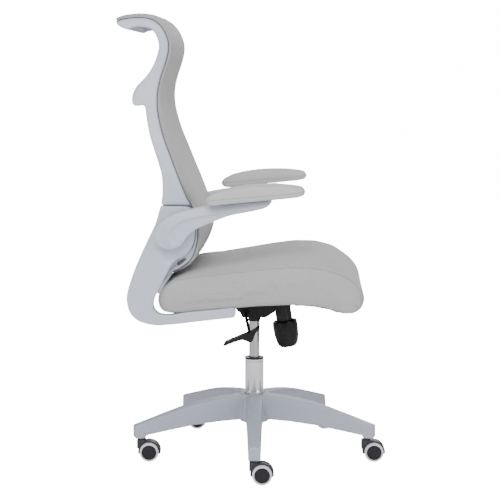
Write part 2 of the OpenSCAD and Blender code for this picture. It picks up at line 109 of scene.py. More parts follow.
def turned(name, profile, sides=64):
    """A turned piece: a disc at the first (radius, height), extruded from point to point."""
    drop_selection()
    r0, z0 = profile[0]
    bpy.ops.mesh.primitive_circle_add(vertices=sides, radius=r0, fill_type="NGON",
                                      location=(0, 0, z0))
    obj = bpy.context.active_object
    obj.name = name
    settle(obj)
    bpy.ops.object.mode_set(mode="EDIT")
    bpy.ops.mesh.select_all(action="SELECT")
    for (r0, z0), (r1, z1) in zip(profile, profile[1:]):
        bpy.ops.mesh.extrude_region_move(TRANSFORM_OT_translate={"value": (0, 0, z1 - z0)})
        bpy.ops.transform.resize(value=(r1 / r0, r1 / r0, 1), center_override=(0, 0, z1))
    bpy.ops.mesh.select_all(action="SELECT")
    bpy.ops.mesh.normals_make_consistent(inside=False)
    bpy.ops.object.mode_set(mode="OBJECT")
    return obj


def placed(obj, matrix):
    """Moves the piece's mesh by a matrix."""
    obj.data.transform(matrix)
    obj.data.update()
    return obj


def joined(name, *objs):
    """Several meshes become one piece."""
    drop_selection()
    for o in objs:
        o.select_set(True)
    bpy.context.view_layer.objects.active = objs[0]
    if len(objs) > 1:
        bpy.ops.object.join()
    objs[0].name = name
    return objs[0]


def copied(obj, name):
    """A copy with its own mesh."""
    twin = obj.copy()
    twin.data = obj.data.copy()
    twin.name = name
    bpy.context.collection.objects.link(twin)
    return twin


def with_modifier(obj, kind, **values):
    """Adds a modifier, sets its values and applies it."""
    pick(obj)
    m = obj.modifiers.new(kind.title(), kind)
    for key, value in values.items():
        setattr(m, key, value)
    bpy.ops.object.modifier_apply(modifier=m.name)
    return obj


def moulded(obj, voxel, rounds, factor=0.5):
    """Grows overlapping shapes into one skin and rounds off its edges and inner corners."""
    with_modifier(obj, "REMESH", mode="VOXEL", voxel_size=voxel, use_smooth_shade=True)
    return with_modifier(obj, "SMOOTH", factor=factor, iterations=rounds)


def smooth_faces(obj, angle=35):
    """Smooth shading, but sharp where faces meet at more than the angle, in degrees."""
    pick(obj)
    bpy.ops.object.shade_smooth_by_angle(angle=math.radians(angle))
    return obj


LEG_TOP = [(0, 160), (45, 158.5), (85, 156), (125, 151), (165, 144), (200, 135.5), (250, 120.5),
           (300, 105), (331, 95.5)]
LEG_FOOT = [(0, 94), (57, 93.5), (110, 91.5), (176, 86.5), (240, 77.5), (294, 69.5), (301, 68.5),
            (303, 61), (331, 61)]
LEG_HALF = [(0, 22.5), (60, 22), (150, 19), (300, 15.8), (331, 15)]


def leg_point(x, y, z):
    r = 10 + 160.5 * (x + 1)
    half = along(r, LEG_HALF) * (1 - 0.05 * z)
    top = along(r, LEG_TOP) - 1.2 * y * y
    foot = along(r, LEG_FOOT)
    return Vector((r, y * half, foot + (top - foot) * (z + 1) / 2)) * MM


leg = reshape(block("leg", 41), leg_point)
pick(leg)
bpy.ops.object.mode_set(mode="EDIT")
bpy.ops.mesh.select_all(action="DESELECT")
bm = bmesh.from_edit_mesh(leg.data)
for f in bm.faces:
    c = f.calc_center_median()
    f.select = f.normal.z < -0.8 and 0.046 < c.x < 0.288 and abs(c.y) < 0.011
bmesh.update_edit_mesh(leg.data)
bpy.ops.mesh.extrude_region_move(TRANSFORM_OT_translate={"value": (0, 0, 0.022)})
bpy.ops.object.mode_set(mode="OBJECT")
foot = placed(turned("foot", [(10.5 * MM, 60 * MM), (10.5 * MM, 70 * MM)], 32),
              Matrix.Translation((STEM_CIRCLE, 0, 0)))
leg = joined("leg", leg, foot)
legs = []
for k in range(5):
    one = copied(leg, f"leg_{k}")
    legs.append(placed(one, Matrix.Rotation(BASE_TURN + math.radians(72 * k), 4, "Z")))
bpy.data.objects.remove(leg)
HUB = [(38, 84), (40, 88), (40, 157), (37, 160.5), (29, 161), (27, 160), (26.5, 150)]
hub = turned("hub", [(r * MM, z * MM) for r, z in HUB], 96)
base_shell = joined("base_shell", hub, *legs)
moulded(base_shell, 2.4 * MM, 5)


def cut_out(obj, tool):
    """Takes the tool's shape out of the piece."""
    pick(obj)
    cut = obj.modifiers.new("Cut", "BOOLEAN")
    cut.operation = "DIFFERENCE"
    cut.solver = "EXACT"
    cut.object = tool
    bpy.ops.object.modifier_apply(modifier=cut.name)
    bpy.data.objects.remove(tool)
    return obj


bore = turned("bore", [(TUBE_BORE * MM, 60 * MM), (TUBE_BORE * MM, 180 * MM)], 96)
cut_out(base_shell, bore)
smooth_faces(base_shell, 60)


def new_material(name):
    """A material with only its Principled shader, and what makes its nodes."""
    mat = bpy.data.materials.new(name)
    mat.use_nodes = True
    return mat, mat.node_tree, mat.node_tree.nodes["Principled BSDF"]


def new_group(name, inputs, outputs):
    """A shader node group with named number inputs and typed outputs."""
    group = bpy.data.node_groups.new(name, "ShaderNodeTree")
    for label, value in inputs:
        s = group.interface.new_socket(name=label, in_out="INPUT", socket_type="NodeSocketFloat")
        s.default_value = value
    for label, kind in outputs:
        group.interface.new_socket(name=label, in_out="OUTPUT", socket_type=kind)
    return group, group.nodes.new("NodeGroupInput"), group.nodes.new("NodeGroupOutput")


def tone_group():
    """Slow variation over a surface, worn edges and dust, as two masks."""
    group, start, end = new_group(
        "Surface tone", [("Scale", 9.0), ("Edge", 0.5)],
        [("Tone", "NodeSocketFloat"), ("Worn", "NodeSocketFloat")])
    n, link = group.nodes, group.links.new
    coord = n.new("ShaderNodeTexCoord")
    noise = n.new("ShaderNodeTexNoise")
    noise.inputs["Detail"].default_value = 4
    link(coord.outputs["Object"], noise.inputs["Vector"])
    link(start.outputs["Scale"], noise.inputs["Scale"])
    link(noise.outputs["Fac"], end.inputs["Tone"])
    geo = n.new("ShaderNodeNewGeometry")
    ramp = n.new("ShaderNodeMapRange")
    ramp.inputs["From Min"].default_value = 0.52
    ramp.inputs["From Max"].default_value = 0.62
    times = n.new("ShaderNodeMath")
    times.operation = "MULTIPLY"
    link(geo.outputs["Pointiness"], ramp.inputs["Value"])
    link(ramp.outputs["Result"], times.inputs[0])
    link(start.outputs["Edge"], times.inputs[1])
    link(times.outputs["Value"], end.inputs["Worn"])
    return group


def grain_group():
    """The fine etched grain of a moulding, as a height and a change in gloss."""
    group, start, end = new_group(
        "Moulding grain", [("Grain", 1400.0), ("Gloss", 0.42), ("Spread", 0.1)],
        [("Height", "NodeSocketFloat"), ("Roughness", "NodeSocketFloat")])
    n, link = group.nodes, group.links.new
    coord = n.new("ShaderNodeTexCoord")
    cells = n.new("ShaderNodeTexVoronoi")
    soft = n.new("ShaderNodeTexNoise")
    soft.inputs["Scale"].default_value = 38
    soft.inputs["Detail"].default_value = 3
    spread = n.new("ShaderNodeMapRange")
    low = n.new("ShaderNodeMath")
    low.operation = "SUBTRACT"
    high = n.new("ShaderNodeMath")
    link(coord.outputs["Object"], cells.inputs["Vector"])
    link(coord.outputs["Object"], soft.inputs["Vector"])
    link(start.outputs["Grain"], cells.inputs["Scale"])
    link(cells.outputs["Distance"], end.inputs["Height"])
    for m in (low, high):
        link(start.outputs["Gloss"], m.inputs[0])
        link(start.outputs["Spread"], m.inputs[1])
    link(soft.outputs["Fac"], spread.inputs["Value"])
    link(low.outputs["Value"], spread.inputs["To Min"])
    link(high.outputs["Value"], spread.inputs["To Max"])
    link(spread.outputs["Result"], end.inputs["Roughness"])
    return group


TONE = tone_group()
GRAIN = grain_group()


def shade(colour, k):
    """The colour made darker or paler by a factor, with full alpha."""
    return (*[min(1, c * k) for c in colour], 1)


def two_tone(tree, mask, dark, light):
    """A colour that runs from dark to light as the mask does."""
    mix = tree.nodes.new("ShaderNodeMix")
    mix.data_type = "RGBA"
    mix.inputs["A"].default_value = dark
    mix.inputs["B"].default_value = light
    tree.links.new(mask, mix.inputs["Factor"])
    return mix


def bumped(tree, height, strength, distance):
    """A Bump node that reads a height."""
    bump = tree.nodes.new("ShaderNodeBump")
    bump.inputs["Strength"].default_value = strength
    bump.inputs["Distance"].default_value = distance
    tree.links.new(height, bump.inputs["Height"])
    return bump


def plastic(name, colour, gloss=0.42, grain=1400, depth=0.12, worn=1.12, shine=0.5):
    """A satin moulding: slight change of tone, paler edges and an etched grain."""
    mat, tree, shader = new_material(name)
    shader.inputs["Specular IOR Level"].default_value = shine
    tone = tree.nodes.new("ShaderNodeGroup")
    tone.node_tree = TONE
    skin = tree.nodes.new("ShaderNodeGroup")
    skin.node_tree = GRAIN
    skin.inputs["Grain"].default_value = grain
    skin.inputs["Gloss"].default_value = gloss
    body = two_tone(tree, tone.outputs["Tone"], shade(colour, 0.965), shade(colour, 1.035))
    edge = two_tone(tree, tone.outputs["Worn"], (0, 0, 0, 1), shade(colour, worn))
    tree.links.new(body.outputs["Result"], edge.inputs["A"])
    tree.links.new(edge.outputs["Result"], shader.inputs["Base Color"])
    tree.links.new(skin.outputs["Roughness"], shader.inputs["Roughness"])
    bump = bumped(tree, skin.outputs["Height"], depth, 0.0002)
    tree.links.new(bump.outputs["Normal"], shader.inputs["Normal"])
    return mat


def finished(obj, body, slot, mat, *nodes):
    """Gives the piece its material and its body, and hides the CAD nodes that it stands for."""
    obj.data.materials.clear()
    obj.data.materials.append(mat)
    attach(obj, body)
    if nodes:
        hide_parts(*nodes)
    return obj


base_grey = plastic("base_grey", (0.41, 0.44, 0.52), gloss=0.48)
finished(base_shell, "base", "base_plastic", base_grey, "star_base")

# ---- Castors -----------------------------------------------------------------------------
# Five twin-wheel castors. The hood is a dark nylon moulding over both wheels, and each wheel
# is a dark disc with a pale soft tread moulded round it, which turns on a steel axle.

TRAIL_TURN = math.radians(272.5)
AXLE_BACK = 0.019
WHEEL_HIGH = 0.025
DISC_EDGE = 0.0195

WHEEL = [(23.0, 8.0), (24.6, 8.8), (25.0, 11.5), (25.0, 19.0), (24.4, 21.6), (22.6, 23.6),
         (20.4, 24.0), (19.7, 23.4), (19.4, 22.2), (18.6, 22.3), (15.0, 23.0), (8.0, 23.4),
         (2.0, 23.5)]
wheel = turned("wheel", [(r * MM, z * MM) for r, z in WHEEL], 72)
smooth_faces(wheel, 50)

hood_black = plastic("hood_black", (0.038, 0.038, 0.042), gloss=0.4, depth=0.2, worn=1.6,
                     shine=0.35)
disc_black = plastic("disc_black", (0.016, 0.016, 0.020), gloss=0.35, depth=0.1, worn=1.5,
                     shine=0.3)
tread_grey = plastic("tread_grey", (0.72, 0.71, 0.80), gloss=0.5, depth=0.1)


def of_cad(node, name, merge=0.00002):
    """A copy of a CAD node's mesh, with its loose triangles merged into clean faces."""
    twin = copied(frame["nodes"][node], name)
    twin.parent = None
    twin.matrix_world = Matrix.Identity(4)
    pick(twin)
    bpy.ops.object.mode_set(mode="EDIT")
    bpy.ops.mesh.select_all(action="SELECT")
    bpy.ops.mesh.remove_doubles(threshold=merge)
    bpy.ops.mesh.dissolve_limited(angle_limit=math.radians(1))
    bpy.ops.object.mode_set(mode="OBJECT")
    return twin


for k in range(5):
    turn = BASE_TURN + math.radians(72 * k)
    stem = Vector((math.cos(turn), math.sin(turn), 0)) * STEM_CIRCLE
    back = Vector((math.cos(TRAIL_TURN), math.sin(TRAIL_TURN), 0)) * AXLE_BACK
    hub_point = stem + back + Vector((0, 0, WHEEL_HIGH))
    axle = Matrix.Rotation(TRAIL_TURN, 3, "Z") @ Vector((0, 1, 0))
    hood = of_cad(f"castor_housing_{k + 1}", f"castor_hood_{k + 1}")
    with_modifier(hood, "BEVEL", width=0.0009, segments=3, limit_method="ANGLE",
                  angle_limit=math.radians(40))
    smooth_faces(hood, 40)
    finished(hood, f"castor_{k + 1}", "castor_plastic", hood_black, f"castor_housing_{k + 1}")
    for side, sign in (("a", -1), ("b", 1)):
        one = copied(wheel, f"wheel_{k + 1}{side}")
        across = Matrix.Rotation(math.radians(-90 * sign), 4, "X")
        placed(one, Matrix.Translation(hub_point) @ Matrix.Rotation(TRAIL_TURN, 4, "Z") @ across)
        finished(one, f"wheel_{k + 1}{side}", "castor_wheel", tread_grey,
                 f"castor_wheel_{k + 1}{side}")
        one.data.materials.append(disc_black)
        for f in one.data.polygons:
            out = f.center - hub_point
            if (out - axle * out.dot(axle)).length < DISC_EDGE:
                f.material_index = 1
bpy.data.objects.remove(wheel)

# ---- Gas lift ----------------------------------------------------------------------------
# A chromed outer tube pressed into the hub, its foot crimped in scallops, with a black plastic
# ring on top, and a bright cylinder that slides in it and ends in the seat mechanism.


def metal(name, colour, gloss, brush=(1, 1, 60), depth=0.05):
    """A metal with fine drawn lines and slight smudges."""
    mat, tree, shader = new_material(name)
    shader.inputs["Metallic"].default_value = 1.0
    n, link = tree.nodes, tree.links.new
    coord = n.new("ShaderNodeTexCoord")
    stretch = n.new("ShaderNodeMapping")
    stretch.inputs["Scale"].default_value = brush
    lines = n.new("ShaderNodeTexNoise")
    lines.inputs["Scale"].default_value = 30
    lines.inputs["Detail"].default_value = 6
    link(coord.outputs["Object"], stretch.inputs["Vector"])
    link(stretch.outputs["Vector"], lines.inputs["Vector"])
    tone = n.new("ShaderNodeGroup")
    tone.node_tree = TONE
    tone.inputs["Scale"].default_value = 40
    body = two_tone(tree, tone.outputs["Tone"], shade(colour, 0.93), shade(colour, 1.05))
    link(body.outputs["Result"], shader.inputs["Base Color"])
    smudge = n.new("ShaderNodeMapRange")
    smudge.inputs["To Min"].default_value = gloss * 0.75
    smudge.inputs["To Max"].default_value = gloss * 1.3
    link(lines.outputs["Fac"], smudge.inputs["Value"])
    link(smudge.outputs["Result"], shader.inputs["Roughness"])
    bump = bumped(tree, lines.outputs["Fac"], depth, 0.0002)
    link(bump.outputs["Normal"], shader.inputs["Normal"])
    return mat


def bored_through(obj):
    """Drops both end discs of a turned piece whose profile ends where it began."""
    pick(obj)
    bpy.ops.object.mode_set(mode="EDIT")
    bpy.ops.mesh.select_all(action="DESELECT")
    bm = bmesh.from_edit_mesh(obj.data)
    for f in bm.faces:
        f.select = len(f.verts) > 4
    bmesh.update_edit_mesh(obj.data)
    bpy.ops.mesh.delete(type="ONLY_FACE")
    bpy.ops.mesh.select_all(action="SELECT")
    bpy.ops.mesh.remove_doubles(threshold=1e-6)
    bpy.ops.mesh.normals_make_consistent(inside=False)
    bpy.ops.object.mode_set(mode="OBJECT")
    return obj


TUBE_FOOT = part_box("column_tube")[0][2] / MM
TUBE = [(24.6, TUBE_FOOT), (24.6, 160), (25, 161.5), (25, 247), (24.6, 247.6), (25, 248.2),
        (25, 253.5), (24.4, 254), (23, 254), (23, TUBE_FOOT), (24.6, TUBE_FOOT)]
outer_tube = turned("outer_tube", [(r * MM, z * MM) for r, z in TUBE], 96)
bored_through(outer_tube)
CRIMPS = 12
CRIMP_NARROW = 0.030
CRIMP = [(24.9, 170), (25.4, 167.5), (26.2, 164.5), (26.8, 162), (26.5, 160.4), (25, 160.2)]
crimp = turned("crimp", [(r * MM, z * MM) for r, z in CRIMP], 144)
for v in crimp.data.vertices:
    between = 1 - abs(math.sin(math.atan2(v.co.y, v.co.x) * CRIMPS / 2))
    low = max(0, min(1, (0.170 - v.co.z) / 0.008))
    v.co.z += 0.0034 * low * between ** 2
    v.co.x *= 1 - CRIMP_NARROW * low * between
    v.co.y *= 1 - CRIMP_NARROW * low * between
smooth_faces(outer_tube, 30)
smooth_faces(crimp, 40)
tube_chrome = metal("tube_chrome", (0.80, 0.81, 0.86), 0.16)
tube_bare = metal("tube_bare", (0.55, 0.55, 0.64), 0.24)
outer_tube = joined("outer_tube", outer_tube, crimp)
finished(outer_tube, "base", "bright_steel", tube_chrome, "column_tube")

CAP = [(25, 254.05), (25.6, 254.6), (25.6, 257.4), (25, 258.1), (20.5, 258.6), (17.4, 258.2),
       (16.2, 256.8), (14.5, 256.6), (14.5, 254.05), (25, 254.05)]
cap = turned("tube_cap", [(r * MM, z * MM) for r, z in CAP], 96)
cap = smooth_faces(bored_through(cap), 40)
cap_black = plastic("cap_black", (0.012, 0.012, 0.014), gloss=0.35, shine=0.3)
finished(cap, "base", "dark_plastic", cap_black, "column_cap")

# ---- Seat mechanism ----------------------------------------------------------------------
# A black folded-steel housing on the gas lift's taper, with the tilt spring in a leaning tube
# in front, set by a faceted knob, and a bent lever with a flat paddle on the sitter's right.

KNOB_TOP = Vector((0, -0.076, 0.388))
KNOB_LEAN = Matrix.Rotation(math.radians(-8.5), 4, "X")
KNOB_FLUTES = 7
FLUTE_DEEP = 0.075
KNOB = [(8, -60), (23.5, -60), (23.5, -38), (24.5, -34.5), (29.5, -31.4), (31.5, -32.2),
        (32.6, -34.5), (33.2, -42), (33.2, -52), (32.6, -64), (31.2, -76), (28.8, -88),
        (25.5, -96), (21.5, -100.5), (17.5, -102), (9, -102.2), (3, -102.3)]
knob = turned("tension_grip", [(r * MM, z * MM) for r, z in KNOB], 96)
for v in knob.data.vertices:
    around = math.atan2(v.co.y, v.co.x)
    r = math.hypot(v.co.x, v.co.y)
    if v.co.z < -0.033 and r > 0.020:
        cut = FLUTE_DEEP * max(0.0, math.cos(KNOB_FLUTES * around)) ** 2
        v.co.x *= 1 - cut
        v.co.y *= 1 - cut
placed(knob, Matrix.Translation(KNOB_TOP) @ KNOB_LEAN)
smooth_faces(knob, 32)
grip_black = plastic("grip_black", (0.006, 0.006, 0.007), gloss=0.42, depth=0.25, worn=2.0,
                     shine=0.3)
finished(knob, "tension_screw", "dark_plastic", grip_black, "tension_knob")


def bent(points, steps=4):
    """A smooth curve through the points."""
    out = []
    for i in range(len(points) - 1):
        p0, p1 = points[max(i - 1, 0)], points[i]
        p2, p3 = points[i + 1], points[min(i + 2, len(points) - 1)]
        for j in range(steps):
            t = j / steps
            out.append(tuple(
                0.5 * (2 * b + (c - a) * t + (2 * a - 5 * b + 4 * c - d) * t * t
                       + (3 * b - a - 3 * c + d) * t ** 3)
                for a, b, c, d in zip(p0, p1, p2, p3)))
    return out + [tuple(points[-1])]


def plate(name, outline, x0, x1):
    """A piece with an outline in Y and Z, in millimetres, extruded along X."""
    drop_selection()
    bpy.ops.mesh.primitive_circle_add(vertices=len(outline), radius=0.1, fill_type="NGON")
    obj = bpy.context.active_object
    obj.name = name
    for v, (y, z) in zip(obj.data.vertices, outline):
        v.co = (x0 * MM, y * MM, z * MM)
    bpy.ops.object.mode_set(mode="EDIT")
    bpy.ops.mesh.select_all(action="SELECT")
    bpy.ops.mesh.extrude_region_move(
        TRANSFORM_OT_translate={"value": ((x1 - x0) * MM, 0, 0)})
    bpy.ops.mesh.select_all(action="SELECT")
    bpy.ops.mesh.normals_make_consistent(inside=False)
    bpy.ops.object.mode_set(mode="OBJECT")
    return obj


PADDLE = bent([(70, 329), (63, 336), (40, 346), (15, 357), (2, 361), (-8, 367), (-18, 374),
               (-22, 371), (-14, 363), (-9, 352), (-5, 341), (2, 337), (9, 339), (22, 343),
               (45, 335.5), (65, 327.5), (70, 329)])
paddle = plate("lever_tip", PADDLE[:-1], -217, -179)
moulded(paddle, 0.9 * MM, 5)
smooth_faces(paddle, 60)
finished(paddle, "height_lever", "dark_plastic", grip_black, "lever_paddle")

# ---- Seat --------------------------------------------------------------------------------
# A moulded foam block on a plywood pan, covered in a grey woven mesh that is sewn in panels:
# a crowned top, and a border with a seam along the shoulder. Its front edge falls away.

SHOULDER = [(-288, 447), (-284, 464), (-275, 480), (-259, 495), (-237, 508), (-203, 522),
            (-161, 531.5), (-104, 534), (-47, 530), (39, 521), (102, 512), (148, 507),
            (174, 502), (196, 494), (212, 484), (226, 470), (234, 457), (238, 446)]
SEAT_FOOT = [(-288, 440), (-281, 425), (-269, 416), (-253, 411), (-240, 411.5), (-226, 415.5),
             (-200, 423), (-187, 427), (-149, 432.5), (-100, 435.5), (-20, 431), (50, 424.5),
             (125, 417.5), (175, 412.5), (216, 411.5), (228, 417), (235, 427), (238, 438)]
CROWN = [(-288, 0), (-262, 5), (-241, 12), (-214, 20), (-161, 21.5), (-105, 19), (-47, 14.5),
         (0, 10), (39, 6), (102, 3.5), (213, 2), (238, 0)]
SEAT_MIDDLE = -25
SEAT_HALF_DEEP = 263
SEAT_HALF_WIDE = 249


def seat_point(x, y, z):
    """The cushion before it is filled: a rounded block that follows the seat's two lines."""
    plan = max(abs(x), abs(y)) / max(1e-9, (abs(x) ** 14 + abs(y) ** 14) ** (1 / 14))
    px, py = x * plan, y * plan
    run = SEAT_MIDDLE + SEAT_HALF_DEEP * py
    foot, top = along(run, SEAT_FOOT), along(run, SHOULDER)
    middle = (foot + top) / 2
    high = (top - foot) / 2
    side = 1 - 0.03 * z * z - 0.02 * (1 - z) * (1 - z) / 4
    crown = along(run, CROWN) * (1 - px ** 6) if z > 0 else 0
    return Vector((px * SEAT_HALF_WIDE * side, run, middle + z * high + crown * max(z, 0))) * MM


cushion = reshape(block("cushion", 39), seat_point)


def filled(obj, voxel, pressure, most, frames=20):
    """Swells a remeshed piece like foam under a tight cover, then keeps the new shape."""
    moulded(obj, voxel, 3)
    before = [v.co.copy() for v in obj.data.vertices]
    pick(obj)
    m = obj.modifiers.new("Cloth", "CLOTH")
    m.settings.quality = 4
    m.settings.mass = 0.3
    m.settings.tension_stiffness = 25
    m.settings.compression_stiffness = 25
    m.settings.bending_stiffness = 2
    m.settings.use_pressure = True
    m.settings.uniform_pressure_force = pressure
    m.settings.effector_weights.gravity = 0
    m.collision_settings.use_collision = False
    m.point_cache.frame_start = 1
    m.point_cache.frame_end = frames
    for step in range(1, frames + 1):
        bpy.context.scene.frame_set(step)
    bpy.ops.object.modifier_apply(modifier=m.name)
    bpy.context.scene.frame_set(1)
    for v, old in zip(obj.data.vertices, before):
        move = v.co - old
        if move.length > most:
            v.co = old + move * (most / move.length)
    return obj


filled(cushion, 5 * MM, 3.0, 3 * MM)
with_modifier(cushion, "SUBSURF", levels=1, render_levels=1)
smooth_faces(cushion, 80)


def weave_group():
    """A fine plain weave as a height and a mask of its thread crossings, for painted shade between
    them.
    """
    group, start, end = new_group(
        "Mesh weave", [("Pitch", 620.0), ("Slub", 0.5)],
        [("Height", "NodeSocketFloat"), ("Crossings", "NodeSocketFloat"),
         ("Slubs", "NodeSocketFloat")])
    n, link = group.nodes, group.links.new
    coord = n.new("ShaderNodeTexCoord")
    heights = []
    for axis in ("X", "Z"):
        wave = n.new("ShaderNodeTexWave")
        wave.wave_type = "BANDS"
        wave.bands_direction = axis
        wave.inputs["Distortion"].default_value = 0.6
        wave.inputs["Detail"].default_value = 1
        link(coord.outputs["Object"], wave.inputs["Vector"])
        link(start.outputs["Pitch"], wave.inputs["Scale"])
        heights.append(wave.outputs["Fac"])
    both = n.new("ShaderNodeMath")
    both.operation = "MULTIPLY"
    link(heights[0], both.inputs[0])
    link(heights[1], both.inputs[1])
    high = n.new("ShaderNodeMath")
    high.operation = "MAXIMUM"
    link(heights[0], high.inputs[0])
    link(heights[1], high.inputs[1])
    link(high.outputs["Value"], end.inputs["Height"])
    link(both.outputs["Value"], end.inputs["Crossings"])
    slub = n.new("ShaderNodeTexNoise")
    slub.inputs["Scale"].default_value = 90
    slub.inputs["Detail"].default_value = 5
    stretch = n.new("ShaderNodeMapping")
    stretch.inputs["Scale"].default_value = (0.35, 1, 3)
    link(coord.outputs["Object"], stretch.inputs["Vector"])
    link(stretch.outputs["Vector"], slub.inputs["Vector"])
    mix = n.new("ShaderNodeMath")
    mix.operation = "MULTIPLY"
    link(slub.outputs["Fac"], mix.inputs[0])
    link(start.outputs["Slub"], mix.inputs[1])
    link(mix.outputs["Value"], end.inputs["Slubs"])
    return group


WEAVE = weave_group()


def cloth(name, colour, pitch=620, depth=0.3):
    """A woven cover: threads, painted shade in the tiny gaps between them and a soft sheen."""
    mat, tree, shader = new_material(name)
    n, link = tree.nodes, tree.links.new
    weave = n.new("ShaderNodeGroup")
    weave.node_tree = WEAVE
    weave.inputs["Pitch"].default_value = pitch
    tone = n.new("ShaderNodeGroup")
    tone.node_tree = TONE
    tone.inputs["Scale"].default_value = 6
    slubs = two_tone(tree, weave.outputs["Slubs"], shade(colour, 0.93), shade(colour, 1.16))
    # Painted shade: the colour falls to 0.86 of itself in the gaps between the thread crossings.
    weave_shade = two_tone(tree, weave.outputs["Crossings"], shade(colour, 0.86), (0, 0, 0, 1))
    link(slubs.outputs["Result"], weave_shade.inputs["B"])
    body = n.new("ShaderNodeMix")
    body.data_type = "RGBA"
    body.blend_type = "MULTIPLY"
    body.inputs["Factor"].default_value = 0.10
    link(weave_shade.outputs["Result"], body.inputs["A"])
    link(tone.outputs["Tone"], body.inputs["B"])
    link(body.outputs["Result"], shader.inputs["Base Color"])
    shader.inputs["Roughness"].default_value = 0.9
    shader.inputs["Sheen Weight"].default_value = 0.25
    shader.inputs["Sheen Roughness"].default_value = 0.45
    shader.inputs["Specular IOR Level"].default_value = 0.25
    bump = bumped(tree, weave.outputs["Height"], depth, 0.0004)
    link(bump.outputs["Normal"], shader.inputs["Normal"])
    return mat


seat_cloth = cloth("seat_cloth", (0.52, 0.52, 0.52))
finished(cushion, "seat", "grey_fabric", seat_cloth, "seat_cushion")


def welt(name, points, r, closed=False, sides=2):
    """A thin round cord along the points, in metres, made a mesh."""
    curve = bpy.data.curves.new(name, "CURVE")
    curve.dimensions = "3D"
    curve.bevel_depth = r
    curve.bevel_resolution = sides
    curve.use_fill_caps = True
    line = curve.splines.new("POLY")
    line.points.add(len(points) - 1)
    for p, q in zip(line.points, points):
        p.co = (*q, 1)
    line.use_cyclic_u = closed
    obj = bpy.data.objects.new(name, curve)
    bpy.context.collection.objects.link(obj)
    pick(obj)
    bpy.ops.object.convert(target="MESH")
    return bpy.context.active_object


def onto(obj, point, away=0.0):
    """The nearest place on a piece's skin to a point, moved outwards by away."""
    _, spot, normal, _ = obj.closest_point_on_mesh(point)
    return spot + normal * away


# The seam runs round each side panel: along the shoulder and down the rounded rear and front.
seams = []
for sign in (-1, 1):
    line = []
    for y, z in bent(SHOULDER, 3):
        line.append(onto(cushion, Vector((sign * 0.243, y * MM, z * MM)), 0.0003))
    seams.append(welt(f"seam_{sign}", line, 1.1 * MM))
seat_seam = smooth_faces(joined("seat_seam", *seams), 80)
seam_grey = cloth("seam_grey", (0.45, 0.45, 0.45), depth=0.5)
finished(seat_seam, "seat", "grey_fabric", seam_grey)

# ---- Side yokes --------------------------------------------------------------------------
# Two C-shaped nylon mouldings. Their lower bars are bolted under the edges of the seat pan,
# they sweep up behind the cushion and carry the back rest and the hinges of the armrests.

light_grey = plastic("light_grey", (0.56, 0.595, 0.70), gloss=0.42)
YOKE = bent([(224, 683.6), (228, 668), (237, 639), (254, 603), (273, 563), (289, 526),
             (299, 498), (308, 470), (310.5, 448), (307, 425), (297, 406), (279, 392),
             (252, 384), (226, 382.5), (192, 385), (152, 390), (76, 399.5), (44, 403.5),
             (38, 408), (38, 423), (43, 428.5), (76, 424.8), (124, 419.8), (152, 417),
             (176, 413.5), (195, 409.8), (222, 409.5), (236, 416), (243, 426), (244, 439),
             (239, 456), (228, 475), (207, 517), (192, 543), (168, 556), (150, 574),
             (141, 596), (139, 622), (141, 650), (148, 674), (160, 683.6)], 3)
YOKE_IN, YOKE_OUT = 208, 240
DISH_EDGE = [(540, 194), (552, 178), (563, 163), (573, 152), (583, 146), (596, 142), (650, 141)]


def dished(x, y, z):
    """The outer face falls away to its front edge, under the arm."""
    high = max(0, min(1, (z - 0.535) / 0.02, (0.680 - z) / 0.05))
    behind = (y - along(z / MM, DISH_EDGE) * MM) / 0.050
    fall = max(0, min(1, 1 - behind)) ** 1.5 * high
    outer = max(0, min(1, (abs(x) - 0.212) / 0.026))
    return Vector((x - math.copysign(0.010 * fall * outer, x), y, z))


for side, sign in (("right", -1), ("left", 1)):
    yoke = plate(f"side_yoke_{side}", YOKE, *sorted((sign * YOKE_IN, sign * YOKE_OUT)))
    moulded(yoke, 2.2 * MM, 8)
    reshape(yoke, dished)
    smooth_faces(yoke, 60)
    finished(yoke, "seat", "light_plastic", light_grey, f"yoke_{side}")

# ---- Back rest ---------------------------------------------------------------------------
# A stiff grey frame: two deep side rails that run up from the yokes, lean back, and curl over
# behind the head. A foam panel in grey mesh is stretched over its front with a corded edge.

FRONT = [(340, 1139), (323, 1145), (290, 1149), (260, 1147), (240, 1139), (223, 1122),
         (211, 1096), (208, 1076), (212, 1052), (220, 1026), (229, 998), (235, 965), (235, 930),
         (228, 892), (216, 851), (199, 807), (182, 762), (167, 725), (150, 684.3)]
FRONT_LOW = [(150, 684.3), (140, 655), (134, 622), (135, 594), (142, 566), (152, 546),
             (168, 531), (184, 521), (197, 514), (208, 503), (223, 486), (238, 463)]
REAR = [(223, 684.6), (219, 722), (221, 760), (229, 789), (240, 822), (252, 859), (261, 900),
        (266, 928), (275, 931), (285, 929), (294, 931), (298, 939), (298, 951), (294, 965),
        (284, 981), (271, 997), (259, 1011), (245, 1036), (236, 1062), (233, 1080), (238, 1101),
        (249, 1118), (262, 1123.5), (284, 1126), (300, 1123), (309, 1119), (322, 1122),
        (335, 1129.5), (342, 1138)]
HALF = [(684, 236), (730, 237), (780, 234), (835, 226), (885, 212), (935, 192), (985, 175),
        (1035, 167), (1085, 167), (1120, 168), (1146, 160), (1160, 142)]
RAIL = 28
RAIL_IN = 137
RAIL_OUT = RAIL_IN + RAIL
HEAD_FROM = 1096


def half_width(z):
    """Half the width of the back at a height, in millimetres, without corners."""
    lo = max(i for i, (h, _) in enumerate(HALF) if h <= max(z, 684))
    p = [HALF[min(max(i, 0), len(HALF) - 1)][1] for i in range(lo - 1, lo + 3)]
    h0 = HALF[lo][0]
    h1 = HALF[min(lo + 1, len(HALF) - 1)][0]
    t = 0 if h1 == h0 else min(1, max(0, (z - h0) / (h1 - h0)))
    return 0.5 * (2 * p[1] + (p[2] - p[0]) * t + (2 * p[0] - 5 * p[1] + 4 * p[2] - p[3]) * t * t
                  + (3 * p[1] - p[0] - 3 * p[2] + p[3]) * t ** 3)


